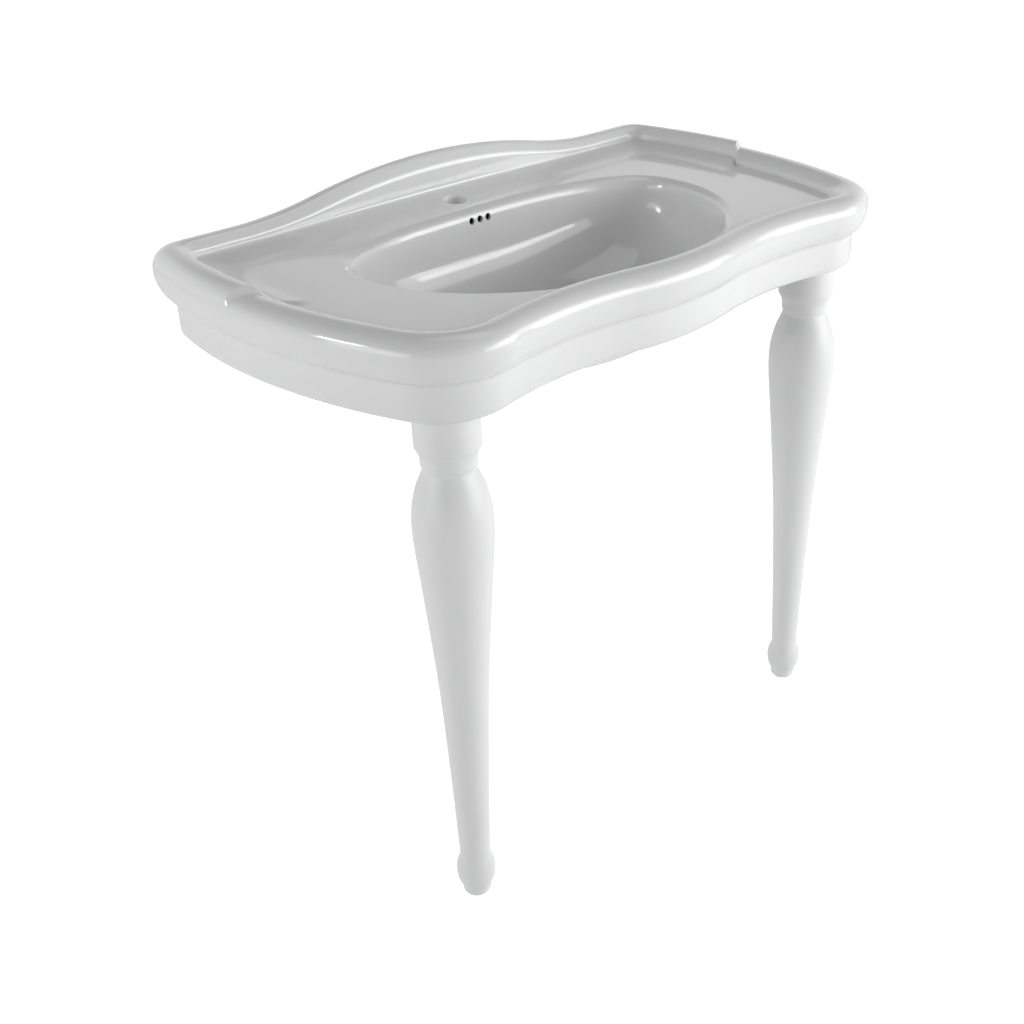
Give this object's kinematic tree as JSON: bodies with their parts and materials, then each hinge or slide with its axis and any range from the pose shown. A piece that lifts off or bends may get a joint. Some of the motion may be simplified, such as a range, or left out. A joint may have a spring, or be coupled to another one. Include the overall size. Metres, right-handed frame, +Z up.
{
  "type": "console sink with legs",
  "caption": "Wide white console sink with a rolled rim, a humped back gallery and an oval bowl, standing on turned ceramic legs at the front.",
  "frame": {"origin": "on the floor under the middle of the whole object, midway between its sides and midway between the wall and the foremost curve", "axes": "+X to the user's right along the wall, +Y towards the wall, +Z up"},
  "size_m": [1, 0.5579, 0.9225],
  "materials": {
    "white_glaze": "gloss",
    "black_rubber": "matte",
    "grey_nylon": "matte",
    "zinc_steel": "satin",
    "clear_pad": "satin"
  },
  "bodies": {
    "root": {"basin": "white_glaze", "left_leg": "white_glaze", "right_leg": "white_glaze", "left_leg_gasket": "black_rubber", "right_leg_gasket": "black_rubber", "leg_anchor_plugs": "grey_nylon", "leg_studs": "zinc_steel", "anchor_nuts": "zinc_steel", "ledge_rubber_washers": "black_rubber", "ledge_steel_washers": "zinc_steel", "ledge_nuts": "zinc_steel", "left_foot_pad": "clear_pad", "right_foot_pad": "clear_pad"}
  },
  "joints": []
}
